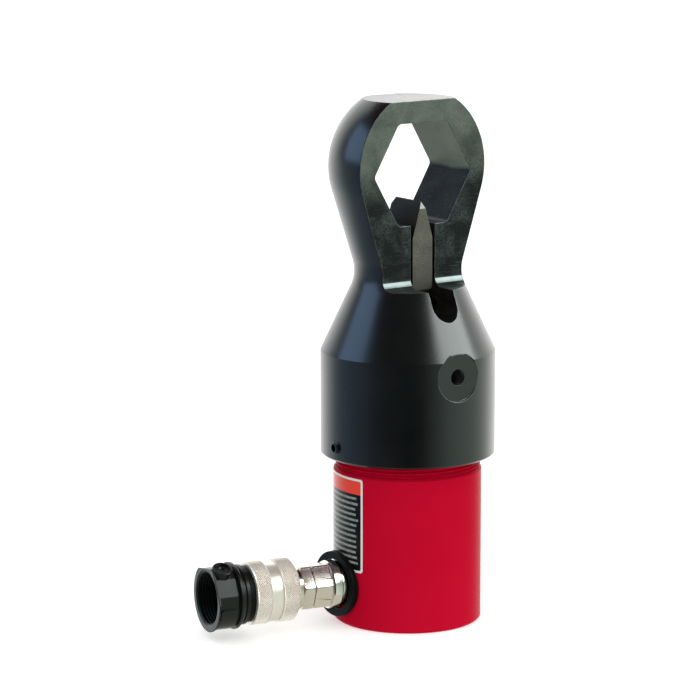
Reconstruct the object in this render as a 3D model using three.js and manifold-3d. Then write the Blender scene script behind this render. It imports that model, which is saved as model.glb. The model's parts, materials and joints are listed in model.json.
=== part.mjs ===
// Hydraulic nut splitter: a steel cutter head with a hexagonal opening, screwed on a short
// single-acting cylinder that drives a chisel blade up into the opening.
// Millimetres, +Z up along the cylinder's axis, origin at the centre of the base face,
// the head's front face towards -Y and the coupler towards -X.
import * as THREE from "three";
import { mergeVertices } from "three/addons/utils/BufferGeometryUtils.js";
import Module from "manifold-3d";

const wasm = await Module();
wasm.setup();

// ---- Driving dimensions ----------------------------------------------------------------------

const GAP = 0.3; // clearance between pieces that rest on each other
const BIG_ROUND = 48; // sides of the barrel, the head and the plunger
const SMALL_ROUND = 24; // sides of the coupler's pieces
const TINY_ROUND = 16; // sides of screws and stems
const THROUGH = 70; // half-length of a cutter that runs right through the head

const BARREL = { radius: 42.86, height: 139.7, shoulder: 90.3, floor: 14, bore: 32.55 };
const COLLAR = { major: 42.07, minor: 40.9, pitch: 2.117, crests: 4 };
const STROKE = 25.4;

const HEAD = {
  skirtRadius: 50.37,
  bottom: 97.7,
  coneStart: 158.2,
  coneAngle: THREE.MathUtils.degToRad(25),
  flareAngle: THREE.MathUtils.degToRad(16.5),
  neckFillet: 22,
  domeRadius: 47.85,
  domeOffset: -2, // the dome's arc is centred a little beyond the axis
  domeZ: 264.4,
  top: 302.85,
  front: -14.2,
  back: 25.1,
  shelf: 196,
  shelfFillet: 6,
};
const HEX_OPENING = { acrossFlats: 58.2, z: 261.2, corner: 3.6 };
const SLOT = { width: 16.9, bottom: 179.3 };
const KEY_HOLE = { z: 149, radius: 4.75, spotRadius: 14, spotY: -48.2 };
const LOCK_SCREW = { z: 106, radius: 3.6, reach: 52.1, length: 11.2, socket: 2 };

const BLADE = {
  tip: 245.3,
  bevelZ: 241.2,
  bevelHalf: 2.2,
  wedgeZ: 224.5,
  half: 6.95,
  bottom: 194.3,
  depth: 28,
  endChamfer: 1.9,
  shankRadius: 6.35,
};
const PLUNGER = {
  bottom: 34,
  landTop: 92.6,
  top: 139.9,
  landRadius: 32.3,
  rodRadius: 28.5,
  springBore: 17.5,
  springBoreTop: 112,
};
const HOLDER = { radius: 17, top: 163, studRadius: 12.2, studBottom: 118, socketFloor: 146 };
const STOP_RING = { bottom: 118.3, top: 139.2, outer: 35.9, inner: 28.8 };
const SPRING = { meanRadius: 10.4, wire: 2, bottom: 24, top: 103, turns: 11 };

const LABEL = { from: 72.2, sweep: 90.8, bottom: 33.4, top: 88.3, gap: 0.06, thickness: 0.2 };

// The coupler's pieces are placed by their distance from the cylinder's axis.
const COUPLER = { z: 24, turn: THREE.MathUtils.degToRad(100) };
const HEX_BODY = { acrossFlats: 24.6, cornerTurn: THREE.MathUtils.degToRad(8.7), turned: 13.7 };
const JOINT = 64; // where adapter and body meet
const SLEEVE = { rear: 74.2, knurlRear: 76, front: 102, radius: 18.1, inner: 13.9, mouth: 15.4 };
const TETHER_RING = { hole: 14.6, radius: 19.1, thickness: 4.4, front: 47.2, lean: 11.5 };
const POPPET_SPRING = { meanRadius: 3.9, wire: 0.5, bottom: 69.2, top: 77.4, turns: 4 };
const CAP = { mouth: 126.4, rim: 19.6, flange: 19.2, foot: 17.3, body: 17.6, spigot: 15.1, gasket: 16.2 };

// ---- Shapes ----------------------------------------------------------------------------------

const point = (x, y) => new THREE.Vector2(x, y);

// Revolves an outline of [radius, height] pairs about +Z.
function revolve(outline, sides = BIG_ROUND) {
  const points = outline.map(([radius, height]) => point(radius, height));
  return new THREE.LatheGeometry(points, sides).rotateX(Math.PI / 2);
}

// Revolves a closed outline that doesn't touch the axis.
const ring = (outline, sides = BIG_ROUND) => revolve([...outline, outline[0]], sides);

// A plain washer or tube.
function tube(inner, outer, bottom, top, sides = BIG_ROUND) {
  return ring([[inner, bottom], [outer, bottom], [outer, top], [inner, top]], sides);
}

// A solid round bar.
const bar = (radius, bottom, top, sides = BIG_ROUND) =>
  revolve([[0, bottom], [radius, bottom], [radius, top], [0, top]], sides);

// A round ring of round section.
const torus = (major, minor, height, sides = SMALL_ROUND) =>
  new THREE.TorusGeometry(major, minor, 6, sides).translate(0, 0, height);

// Points along an arc, from one angle to another, both ends included.
function arc(x, y, radius, from, to, steps) {
  return Array.from({ length: steps + 1 }, (_, i) => {
    const angle = from + ((to - from) * i) / steps;
    return [x + radius * Math.cos(angle), y + radius * Math.sin(angle)];
  });
}

const shapeOf = (points) => new THREE.Shape(points.map(([x, y]) => point(x, y)));

// Extrudes an outline along +Z.
const extrude = (points, depth) =>
  new THREE.ExtrudeGeometry(shapeOf(points), { depth, bevelEnabled: false });

// Extrudes an outline of [x, z] pairs along Y, from yBack down to yFront.
const extrudeY = (points, yFront, yBack) =>
  extrude(points, yBack - yFront).rotateX(Math.PI / 2).translate(0, yBack, 0);

// Extrudes an outline of [y, z] pairs along X, evenly to both sides.
function extrudeX(points, half) {
  const turn = new THREE.Matrix4().makeBasis(
    new THREE.Vector3(0, 1, 0),
    new THREE.Vector3(0, 0, 1),
    new THREE.Vector3(1, 0, 0),
  );
  return extrude(points, 2 * half).applyMatrix4(turn).translate(-half, 0, 0);
}

// The corners of a regular polygon, each rounded with a short arc.
function roundedPolygon(corners, acrossFlats, cornerRadius, firstCorner, centreX, centreY) {
  const half = Math.PI / corners;
  const outer = acrossFlats / 2 / Math.cos(half) - cornerRadius / Math.cos(half);
  const points = [];
  for (let i = 0; i < corners; i += 1) {
    const angle = firstCorner + i * 2 * half;
    const x = centreX + outer * Math.cos(angle);
    const y = centreY + outer * Math.sin(angle);
    points.push(...arc(x, y, cornerRadius, angle - half, angle + half, 4));
  }
  return points;
}

function polygon(corners, acrossFlats, firstCorner) {
  const radius = acrossFlats / 2 / Math.cos(Math.PI / corners);
  return arc(0, 0, radius, firstCorner, firstCorner + 2 * Math.PI, corners).slice(0, corners);
}

// A coil of round wire about +Z, as one tube along a helix.
function coil({ meanRadius, wire, bottom, top, turns }, stepsPerTurn, sides) {
  class Helix extends THREE.Curve {
    getPoint(t) {
      const angle = t * turns * 2 * Math.PI;
      const height = bottom + (top - bottom) * t;
      return new THREE.Vector3(meanRadius * Math.cos(angle), meanRadius * Math.sin(angle), height);
    }
  }
  const section = shapeOf(arc(0, 0, wire, 0, 2 * Math.PI, sides).slice(0, sides));
  return new THREE.ExtrudeGeometry(section, {
    steps: turns * stepsPerTurn,
    extrudePath: new Helix(),
    bevelEnabled: false,
  });
}

// ---- Booleans --------------------------------------------------------------------------------

function toSolid(geometry) {
  const bare = geometry.clone();
  bare.deleteAttribute("normal");
  bare.deleteAttribute("uv");
  const merged = mergeVertices(bare, 1e-4);
  return new wasm.Manifold(
    new wasm.Mesh({
      numProp: 3,
      vertProperties: new Float32Array(merged.attributes.position.array),
      triVerts: new Uint32Array(merged.index.array),
    }),
  );
}

function toGeometry(solid) {
  const { vertProperties, triVerts } = solid.getMesh();
  const geometry = new THREE.BufferGeometry();
  geometry.setAttribute("position", new THREE.BufferAttribute(vertProperties, 3));
  geometry.setIndex(new THREE.BufferAttribute(triVerts, 1));
  geometry.computeVertexNormals();
  return geometry;
}

const cut = (body, ...tools) =>
  toGeometry(tools.reduce((solid, tool) => solid.subtract(toSolid(tool)), toSolid(body)));
const join = (body, ...others) =>
  toGeometry(others.reduce((solid, other) => solid.add(toSolid(other)), toSolid(body)));
const common = (body, other) => toGeometry(toSolid(body).intersect(toSolid(other)));

// ---- Materials -------------------------------------------------------------------------------

const finish = (color, roughness, metalness) =>
  new THREE.MeshStandardMaterial({ color, roughness, metalness });

const blackOxide = finish(0x20262b, 0.38, 0.85);
const bladeSteel = finish(0x5b5345, 0.5, 0.8);
const redPaint = finish(0xa3071f, 0.28, 0.1);
const nickel = finish(0xcfc6b8, 0.22, 1);
const plainSteel = finish(0x8d9196, 0.35, 0.9);
const bronze = finish(0x8a6a3a, 0.45, 0.7);
const blackPlastic = finish(0x111312, 0.42, 0);
const blackRubber = finish(0x151515, 0.75, 0);
const sealPolymer = finish(0x2f5f86, 0.5, 0);
const labelFilm = finish(0x161618, 0.3, 0);

function part(name, geometry, material) {
  const mesh = new THREE.Mesh(geometry, material);
  mesh.name = name;
  return mesh;
}

// ---- Cutter head -----------------------------------------------------------------------------

function headOutline() {
  const { skirtRadius, bottom, coneStart, coneAngle, flareAngle, neckFillet } = HEAD;
  const { domeRadius, domeOffset, domeZ, top } = HEAD;
  const flareTop = [
    domeOffset + domeRadius * Math.cos(flareAngle),
    domeZ - domeRadius * Math.sin(flareAngle),
  ];
  // The cone and the flare would meet here if the neck had no fillet.
  const coneSlope = Math.tan(coneAngle);
  const flareSlope = Math.tan(flareAngle);
  const meetZ =
    (skirtRadius - flareTop[0] + coneSlope * coneStart + flareSlope * flareTop[1]) /
    (coneSlope + flareSlope);
  const meetRadius = skirtRadius - coneSlope * (meetZ - coneStart);
  const spread = 1 + Math.cos(coneAngle + flareAngle);
  const neckX =
    meetRadius + (neckFillet * (Math.cos(coneAngle) + Math.cos(flareAngle))) / spread;
  const neckZ = meetZ + (neckFillet * (Math.sin(coneAngle) - Math.sin(flareAngle))) / spread;
  const domeTopAngle = Math.asin((top - domeZ) / domeRadius);
  const chamfer = 1.2;
  return [
    [skirtRadius - chamfer, bottom],
    [skirtRadius, bottom + chamfer],
    [skirtRadius, coneStart],
    ...arc(neckX, neckZ, neckFillet, Math.PI + coneAngle, Math.PI - flareAngle, 5),
    ...arc(domeOffset, domeZ, domeRadius, -flareAngle, domeTopAngle, 9),
  ];
}

// Bores inside the head, from the top down to the skirt's mouth.
function headBores() {
  const ramTop = PLUNGER.top + STROKE + 2.7;
  const ramBore = PLUNGER.rodRadius + 2;
  const guideBore = HOLDER.radius + 1.2;
  const guideTop = HOLDER.top + STROKE + 1.3;
  const threadBore = COLLAR.major + GAP;
  const threadTop = BARREL.height + 1;
  return [
    [0, guideTop],
    [guideBore, guideTop],
    [guideBore, ramTop],
    [ramBore, ramTop],
    [ramBore, threadTop],
    [threadBore, threadTop],
    [threadBore, HEAD.bottom + 1],
    [threadBore + 1, HEAD.bottom],
  ];
}

// The space milled away on one side of the slab, down to a shelf with a hollow fillet.
function slabCutter(face, side) {
  const { shelf, shelfFillet, top } = HEAD;
  const centreY = face + side * shelfFillet;
  const faceAngle = side < 0 ? 2 * Math.PI : Math.PI;
  const hollow = arc(centreY, shelf + shelfFillet, shelfFillet, 1.5 * Math.PI, faceAngle, 4);
  const outside = side * THROUGH;
  const outline = [[outside, shelf], ...hollow, [face, top + 5], [outside, top + 5]];
  return extrudeX(outline, THROUGH);
}

function cutterHead() {
  const blank = revolve([...headBores(), ...headOutline(), [0, HEAD.top]]);
  const hexagon = roundedPolygon(
    6, HEX_OPENING.acrossFlats, HEX_OPENING.corner, 0, 0, HEX_OPENING.z,
  );
  const slotHalf = SLOT.width / 2;
  const slotCentre = SLOT.bottom + slotHalf;
  const slot = [
    ...arc(0, slotCentre, slotHalf, Math.PI, 2 * Math.PI, 12),
    [slotHalf, HEX_OPENING.z],
    [-slotHalf, HEX_OPENING.z],
  ];
  const alongY = (radius, yFront, yBack, z, sides) =>
    bar(radius, yFront, yBack, sides).rotateX(-Math.PI / 2).translate(0, 0, z);
  const lockHole = bar(LOCK_SCREW.radius + GAP, 30, THROUGH, TINY_ROUND)
    .rotateY(-Math.PI / 2)
    .translate(0, 0, LOCK_SCREW.z);
  return cut(
    blank,
    slabCutter(HEAD.front, -1),
    slabCutter(HEAD.back, 1),
    extrudeY(hexagon, -THROUGH, THROUGH),
    extrudeY(slot, -THROUGH, THROUGH),
    alongY(KEY_HOLE.spotRadius, -THROUGH, KEY_HOLE.spotY, KEY_HOLE.z, SMALL_ROUND),
    alongY(KEY_HOLE.radius, -THROUGH, -20, KEY_HOLE.z, TINY_ROUND),
    lockHole,
  );
}

// ---- Set screws ------------------------------------------------------------------------------

// A socket set screw along +Z: its socket opens at the top end, its cup point is the bottom end.
function setScrew(radius, length, socket) {
  const edge = radius * 0.18;
  const body = revolve(
    [
      [0, 0],
      [radius * 0.6, 0],
      [radius, edge * 2],
      [radius, length - edge],
      [radius - edge, length],
      [0, length],
    ],
    TINY_ROUND,
  );
  const hexagon = extrude(polygon(6, socket * 2, 0), length).translate(0, 0, length * 0.55);
  return cut(body, hexagon);
}

// ---- Blade and holder ------------------------------------------------------------------------

function chiselBlade() {
  const { tip, bevelZ, bevelHalf, wedgeZ, half, bottom, depth, endChamfer, shankRadius } = BLADE;
  const bottomRound = 2;
  const outline = [
    ...arc(-half + bottomRound, bottom + bottomRound, bottomRound, Math.PI, Math.PI * 1.5, 3),
    ...arc(half - bottomRound, bottom + bottomRound, bottomRound, Math.PI * 1.5, Math.PI * 2, 3),
    [half, wedgeZ],
    [bevelHalf, bevelZ],
    [0, tip],
    [-bevelHalf, bevelZ],
    [-half, wedgeZ],
  ];
  const wedge = extrudeY(outline, -depth / 2, depth / 2);
  const chamfer = (side) => {
    const face = (side * depth) / 2;
    const corner = [
      [face - side * endChamfer, tip],
      [face - side * endChamfer, tip + 2],
      [face + side * 2, tip + 2],
      [face + side * 2, bevelZ],
      [face, bevelZ],
    ];
    return extrudeX(corner, half);
  };
  const shank = revolve(
    [
      [0, HOLDER.socketFloor + 1],
      [shankRadius - 1, HOLDER.socketFloor + 1],
      [shankRadius, HOLDER.socketFloor + 2],
      [shankRadius, bottom + 2],
      [0, bottom + 2],
    ],
    TINY_ROUND * 2,
  );
  const blade = join(wedge, shank);
  return cut(blade, chamfer(-1), chamfer(1));
}

function bladeHolder() {
  const { radius, top, studRadius, studBottom, socketFloor } = HOLDER;
  const seat = PLUNGER.top + GAP;
  const socket = BLADE.shankRadius + GAP;
  const body = revolve([
    [0, studBottom],
    [studRadius - 1.5, studBottom],
    [studRadius, studBottom + 1.5],
    [studRadius, seat],
    [radius, seat],
    [radius, top - 1],
    [radius - 1, top],
    [socket, top],
    [socket, socketFloor],
    [0, socketFloor],
  ], SMALL_ROUND);
  const screwHole = bar(4.1, 0, 30, TINY_ROUND).rotateX(Math.PI / 2).translate(0, 0, KEY_HOLE.z);
  return cut(body, screwHole);
}

// ---- Cylinder --------------------------------------------------------------------------------

function collarThread() {
  const { major, minor, pitch, crests } = COLLAR;
  const crestHalf = pitch * 0.1;
  const points = [];
  for (let i = 0; i < crests; i += 1) {
    const middle = BARREL.shoulder + 1 + (i + 0.5) * pitch;
    points.push([minor, middle - pitch / 2], [major, middle - crestHalf], [major, middle + crestHalf]);
  }
  return points;
}

// Turns a bar about the coupler's axis, so that it can bore the port.
function alongCoupler(geometry) {
  const outward = new THREE.Vector3(-Math.sin(COUPLER.turn), -Math.cos(COUPLER.turn), 0);
  const up = new THREE.Vector3(0, 0, 1);
  const side = new THREE.Vector3().crossVectors(up, outward);
  const frame = new THREE.Matrix4().makeBasis(side, up, outward).setPosition(0, 0, COUPLER.z);
  return geometry.applyMatrix4(frame);
}

function cylinderBarrel() {
  const { radius, height, shoulder, floor, bore } = BARREL;
  const edge = 1.2;
  const mouth = STOP_RING.outer + GAP;
  const body = revolve([
    [0, 0],
    [radius - edge, 0],
    [radius, edge],
    [radius, shoulder - edge],
    [radius - edge * 0.3, shoulder - edge * 0.3],
    [radius - edge, shoulder],
    ...collarThread(),
    [COLLAR.minor, shoulder + 1 + COLLAR.crests * COLLAR.pitch],
    [COLLAR.minor, height - 1],
    [COLLAR.minor - 1, height],
    [mouth, height],
    [mouth, STOP_RING.bottom - GAP],
    [bore, STOP_RING.bottom - GAP],
    [bore, floor],
    [0, floor],
  ]);
  const port = alongCoupler(
    revolve([[0, 20], [5, 20], [5, 33], [8.9, 33], [9.1, 50], [0, 50]], TINY_ROUND),
  );
  const anchorHole = bar(4.3, 5, floor + 5, TINY_ROUND);
  return cut(body, port, anchorHole);
}

function plunger() {
  const { bottom, landTop, top, landRadius, rodRadius, springBore, springBoreTop } = PLUNGER;
  const thread = HOLDER.studRadius + GAP;
  const groove = 27.4;
  return revolve([
    [thread, springBoreTop],
    [springBore, springBoreTop],
    [springBore, bottom],
    [landRadius - 1.5, bottom],
    [landRadius, bottom + 1.5],
    [landRadius, 40],
    [groove, 40],
    [groove, 49.4],
    [landRadius, 49.4],
    [landRadius, 76],
    [landRadius - 2.4, 76],
    [landRadius - 2.4, 86],
    [landRadius, 86],
    [landRadius, landTop],
    [rodRadius, landTop],
    [rodRadius, top - 1],
    [rodRadius - 1, top],
    [thread, top],
    [thread, springBoreTop],
  ]);
}

function stopRing() {
  const { bottom, top, outer, inner } = STOP_RING;
  return ring([
    [inner, bottom],
    [outer, bottom],
    [outer, top],
    [inner + 2.8, top],
    [inner + 2.8, 133],
    [inner, 133],
    [inner, 129.6],
    [inner + 2.4, 129.6],
    [inner + 2.4, 120.4],
    [inner, 120.4],
  ]);
}

function pistonSeal() {
  const { bore } = BARREL;
  const outer = bore - 0.12;
  return ring([
    [27.6, 40.3],
    [29.2, 40.3],
    [29.9, 43.2],
    [30.6, 40.3],
    [outer, 40.3],
    [outer - 0.3, 46.6],
    [27.6, 46.6],
  ]);
}

function rodWiper() {
  const { inner } = STOP_RING;
  return ring([
    [inner + 0.4, 133.2],
    [inner + 2.5, 133.2],
    [inner + 2.5, 138],
    [inner + 1.4, 138],
    [inner - 0.15, 138.9],
    [inner - 0.15, 138],
    [inner + 0.4, 136],
  ]);
}

function springAnchorBolt() {
  const { floor } = BARREL;
  const head = extrude(polygon(6, 13, 0), 5).translate(0, 0, floor + GAP);
  const stem = bar(4, 6, floor + 2, TINY_ROUND);
  const spool = bar(7.9, floor + 5, floor + 20, SMALL_ROUND);
  return join(head, stem, spool);
}

function springTopPlug() {
  const disc = bar(PLUNGER.springBore - GAP, 105.3, 111.7, SMALL_ROUND);
  const hub = bar(7.9, 96, 106, SMALL_ROUND);
  return join(disc, hub);
}

function dataLabel() {
  const start = THREE.MathUtils.degToRad(LABEL.from);
  const sweep = THREE.MathUtils.degToRad(LABEL.sweep);
  const inner = BARREL.radius + LABEL.gap;
  const outer = inner + LABEL.thickness;
  const steps = 24;
  // Angles run from -Y towards -X.
  const onPlan = (radius, i) => {
    const angle = start + (sweep * i) / steps;
    return [-radius * Math.sin(angle), -radius * Math.cos(angle)];
  };
  const indices = Array.from({ length: steps + 1 }, (_, i) => i);
  const outline = [
    ...indices.map((i) => onPlan(inner, i)),
    ...indices.reverse().map((i) => onPlan(outer, i)),
  ];
  return extrude(outline, LABEL.top - LABEL.bottom).translate(0, 0, LABEL.bottom);
}

// ---- Coupler ---------------------------------------------------------------------------------

function hexBar(bottom, top) {
  const corners = polygon(6, HEX_BODY.acrossFlats, HEX_BODY.cornerTurn);
  const prism = extrude(corners, top - bottom).translate(0, 0, bottom);
  return common(prism, bar(HEX_BODY.turned, bottom, top, SMALL_ROUND));
}

function couplerAdapter() {
  const hexStart = 52.9;
  const front = JOINT - 0.2;
  const collar = revolve(
    [
      [0, 33.8],
      [8.1, 33.8],
      [8.45, 43.4],
      [13.3, 43.4],
      [13.3, 46.8],
      [13.9, 47.4],
      [13.9, 52],
      [13.5, hexStart + 0.1],
      [0, hexStart + 0.1],
    ],
    SMALL_ROUND,
  );
  const bores = revolve([[0, 30], [4, 30], [4, 56], [9.8, 56], [9.8, 70], [0, 70]], TINY_ROUND);
  return cut(join(hexBar(hexStart, front), collar), bores);
}

function couplerBody() {
  const hexEnd = 70.8;
  const nose = 99;
  const barrel = revolve(
    [
      [0, hexEnd - 1],
      [12.2, hexEnd - 1],
      [12.2, 73.4],
      [13.5, 73.4],
      [13.5, 77.2],
      [12.6, 77.2],
      [12.6, 79.2],
      [13.5, 79.2],
      [13.5, 92],
      [13.1, 92.4],
      [13.1, nose - 0.6],
      [12.5, nose],
      [0, nose],
    ],
    SMALL_ROUND,
  );
  const spigot = tube(5, 9.4, 57, JOINT + 1, SMALL_ROUND);
  const bores = revolve(
    [
      [0, 50],
      [6.2, 50],
      [6.2, 88],
      [4.4, 92],
      [4.4, 93.4],
      [7.6, 93.4],
      [7.6, nose + 2],
      [0, nose + 2],
    ],
    TINY_ROUND,
  );
  return cut(join(hexBar(JOINT + 0.1, hexEnd), barrel, spigot), bores);
}

function couplerSleeve() {
  const { rear, knurlRear, front, radius, inner, mouth } = SLEEVE;
  const groove = 0.35;
  return ring(
    [
      [inner, rear],
      [15.6, rear],
      [radius, knurlRear],
      [radius, 85.3],
      [radius - groove, 85.6],
      [radius - groove, 92.8],
      [radius, 93.1],
      [radius, front - 0.5],
      [radius - 0.5, front],
      [mouth, front],
      [mouth, 92.6],
      [inner, 92.6],
      [inner, 79.2],
      [inner + 0.8, 79.2],
      [inner + 0.8, 77.2],
      [inner, 77.2],
    ],
    SMALL_ROUND,
  );
}

function valvePoppet() {
  return revolve(
    [[0, 64.6], [1.9, 64.6], [1.9, 82.4], [5.7, 82.4], [5.7, 87.4], [3.9, 91.6], [3.9, 94.6], [0, 95.2]],
    TINY_ROUND,
  );
}

function poppetGuide() {
  const disc = tube(2.2, 5.9, 66.2, 68.4, TINY_ROUND);
  const holes = [0, 1, 2].map((i) => {
    const angle = (i * 2 * Math.PI) / 3;
    return bar(1.1, 60, 75, 12).translate(4 * Math.cos(angle), 4 * Math.sin(angle), 0);
  });
  return cut(disc, ...holes);
}

// A loose ring that hangs on the adapter's collar and leans against the barrel, in degrees.
function tetherRing() {
  const { hole, radius, thickness, front, lean } = TETHER_RING;
  const body = ring(
    [
      [hole, -thickness],
      [radius - 0.5, -thickness],
      [radius, -thickness + 0.5],
      [radius, -2.6],
      [radius - 0.7, -2.1],
      [radius - 0.7, -1.5],
      [radius, -1],
      [radius, -0.5],
      [radius - 0.5, 0],
      [hole, 0],
    ],
    SMALL_ROUND,
  );
  body.rotateY(THREE.MathUtils.degToRad(lean)).translate(0, -GAP, front);
  const barrelFace = BARREL.radius + LABEL.gap + LABEL.thickness + GAP;
  return cut(alongCoupler(body), bar(barrelFace, -10, 80));
}

function dustCap() {
  const { mouth, rim, flange, foot, body, spigot } = CAP;
  const shell = revolve(
    [
      [0, 106],
      [12.8, 106],
      [13.7, 105.2],
      [13.7, 94],
      [spigot, 94],
      [spigot, 105.7],
      [foot, 105.7],
      [foot, 108],
      [foot - 0.7, 108.3],
      [foot - 0.7, 110],
      [flange - 0.3, 110.2],
      [flange, 110.6],
      [flange, 112],
      [flange - 0.3, 112.4],
      [body - 0.7, 112.5],
      [body - 0.7, 113.5],
      [body, 113.7],
      [body, 125],
      [rim - 0.4, 125.2],
      [rim, 125.5],
      [rim, mouth - 0.5],
      [rim - 0.5, mouth],
      [15.9, mouth],
      [15.5, mouth - 0.6],
      [15.5, 114.5],
      [14.9, 114],
      [0, 114],
    ],
    SMALL_ROUND,
  );
  const boss = bar(5.7, 14, 20.6, TINY_ROUND);
  const bossTurn = THREE.MathUtils.degToRad(65);
  boss.rotateY(Math.PI / 2).rotateZ(bossTurn).translate(0, 0, 120.1);
  const insideOfMouth = bar(15.5, 114.5, mouth + 1, SMALL_ROUND);
  return cut(join(shell, boss), insideOfMouth);
}

// ---- Assembly --------------------------------------------------------------------------------

const nutSplitter = new THREE.Group();

const lockScrew = part(
  "head_lock_screw", setScrew(LOCK_SCREW.radius, LOCK_SCREW.length, LOCK_SCREW.socket), blackOxide,
);
lockScrew.rotation.y = -Math.PI / 2;
lockScrew.position.set(LOCK_SCREW.length - LOCK_SCREW.reach, 0, LOCK_SCREW.z);

const bladeScrew = part("blade_set_screw", setScrew(3.8, 9, 2), plainSteel);
bladeScrew.rotation.x = Math.PI / 2;
bladeScrew.position.set(0, -(BLADE.shankRadius + GAP), KEY_HOLE.z);

nutSplitter.add(
  part("cutter_head", cutterHead(), blackOxide),
  lockScrew,
  part("chisel_blade", chiselBlade(), bladeSteel),
  part("blade_holder", bladeHolder(), plainSteel),
  bladeScrew,
  part("cylinder_barrel", cylinderBarrel(), redPaint),
  part("data_label", dataLabel(), labelFilm),
  part("plunger", plunger(), plainSteel),
  part("piston_seal", pistonSeal(), sealPolymer),
  part("piston_backup_ring", tube(27.7, BARREL.bore - 0.15, 46.9, 49.1), bronze),
  part("piston_wear_ring", tube(30.2, BARREL.bore - 0.1, 76.3, 85.7), bronze),
  part("stop_ring", stopRing(), plainSteel),
  part("rod_bearing", tube(STOP_RING.inner - 0.15, STOP_RING.inner + 2.1, 120.7, 129.3), bronze),
  part("rod_wiper", rodWiper(), sealPolymer),
  part("return_spring", coil(SPRING, 12, 5), plainSteel),
  part("spring_anchor_bolt", springAnchorBolt(), plainSteel),
  part("spring_top_plug", springTopPlug(), plainSteel),
  part("tether_ring", tetherRing(), blackRubber),
);

const coupler = new THREE.Group();
alongCoupler(coupler);
coupler.add(
  part("coupler_adapter", couplerAdapter(), nickel),
  part("coupler_joint_ring", tube(5.2, 9.5, 56.3, 56.7, SMALL_ROUND), bronze),
  part("coupler_body", couplerBody(), nickel),
  part("coupler_sleeve", couplerSleeve(), nickel),
  part("sleeve_retaining_ring", torus(13.7, 0.65, 78.2), plainSteel),
  part("coupler_face_seal", torus(6.7, 0.75, 97.6, TINY_ROUND), blackRubber),
  part("valve_poppet", valvePoppet(), plainSteel),
  part("poppet_seal", torus(4.76, 0.3, 90.4, TINY_ROUND), blackRubber),
  part("poppet_spring", coil(POPPET_SPRING, 10, 4), plainSteel),
  part("poppet_guide", poppetGuide(), plainSteel),
  part(
    "cap_gasket",
    tube(CAP.spigot + GAP, CAP.gasket, SLEEVE.front + GAP, 105.4, SMALL_ROUND),
    blackRubber,
  ),
  part("dust_cap", dustCap(), blackPlastic),
);
nutSplitter.add(coupler);

export default nutSplitter;
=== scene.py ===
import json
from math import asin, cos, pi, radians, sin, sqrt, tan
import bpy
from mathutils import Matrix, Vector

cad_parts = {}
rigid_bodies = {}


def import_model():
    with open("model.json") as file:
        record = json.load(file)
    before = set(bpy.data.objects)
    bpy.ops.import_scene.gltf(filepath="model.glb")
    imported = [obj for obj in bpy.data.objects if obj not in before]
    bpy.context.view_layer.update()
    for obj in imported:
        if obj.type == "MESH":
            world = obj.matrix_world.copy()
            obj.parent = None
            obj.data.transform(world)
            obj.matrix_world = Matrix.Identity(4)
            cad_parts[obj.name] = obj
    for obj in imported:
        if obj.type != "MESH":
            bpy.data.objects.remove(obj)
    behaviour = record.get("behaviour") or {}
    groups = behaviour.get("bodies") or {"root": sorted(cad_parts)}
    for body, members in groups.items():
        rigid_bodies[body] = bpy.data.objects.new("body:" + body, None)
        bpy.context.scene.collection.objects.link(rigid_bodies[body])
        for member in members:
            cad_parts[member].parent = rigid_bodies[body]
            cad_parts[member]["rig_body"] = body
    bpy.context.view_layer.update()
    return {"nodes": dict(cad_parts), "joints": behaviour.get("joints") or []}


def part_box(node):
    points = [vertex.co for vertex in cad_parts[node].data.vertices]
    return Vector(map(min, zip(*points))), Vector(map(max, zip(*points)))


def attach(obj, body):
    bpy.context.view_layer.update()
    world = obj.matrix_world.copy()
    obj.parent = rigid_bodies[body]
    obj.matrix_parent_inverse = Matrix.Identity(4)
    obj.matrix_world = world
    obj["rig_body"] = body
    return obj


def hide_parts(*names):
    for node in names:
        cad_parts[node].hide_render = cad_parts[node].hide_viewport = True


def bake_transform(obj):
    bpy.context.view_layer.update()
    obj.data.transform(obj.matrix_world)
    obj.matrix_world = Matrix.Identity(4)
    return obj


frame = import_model()

# A hydraulic nut splitter: a black-oxide steel head with a hexagonal opening and a chisel blade,
# screwed on a red cylinder with a plated coupler and a black dust cap.
# Lengths are in millimetres until a mesh is made; MM turns them into metres.
from types import SimpleNamespace as Sizes

import bmesh
import bpy
import numpy as np
from mathutils import Matrix, Vector

MM = 0.001
TURN = 2 * pi

# ---- Sizes ----


def corners(node):
    """A CAD node's lowest and highest corner, in millimetres."""
    return tuple(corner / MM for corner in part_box(node))


HEAD_LOW, HEAD_HIGH = corners("cutter_head")
BARREL_HIGH = corners("cylinder_barrel")[1]
BLADE_LOW, BLADE_HIGH = corners("chisel_blade")
LABEL_LOW, LABEL_HIGH = corners("data_label")

HEAD = Sizes(
    radius=HEAD_HIGH.x, bottom=HEAD_LOW.z, top=HEAD_HIGH.z, cone_start=158.2,
    cone_angle=radians(25), flare_angle=radians(16.5), neck_fillet=22, dome_radius=47.85,
    dome_offset=-2, dome_z=264.4, front=-14.2, back=25.1, shelf=196, shelf_fillet=6,
    guide_bore=18.2, guide_top=189.7, ram_bore=30.5, ram_top=168, thread_bore=42.37,
    thread_top=140.7,
)
HEX_OPENING = Sizes(across_flats=58.2, z=261.2, corner=3.6)
SLOT = Sizes(half=8.45, bottom=179.3)
KEY_HOLE = Sizes(z=149, radius=4.75, spot_radius=14, spot_y=-48.2)
LOCK_SCREW = Sizes(z=106, radius=3.6, reach=52.1, length=11.2)
BLADE = Sizes(
    tip=BLADE_HIGH.z, depth=BLADE_HIGH.y, bevel_z=241.2, bevel_half=2.2, wedge_z=224.5, half=6.95,
    bottom=194.3, end_chamfer=1.9, shank=6.35, shank_end=BLADE_LOW.z,
)
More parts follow.
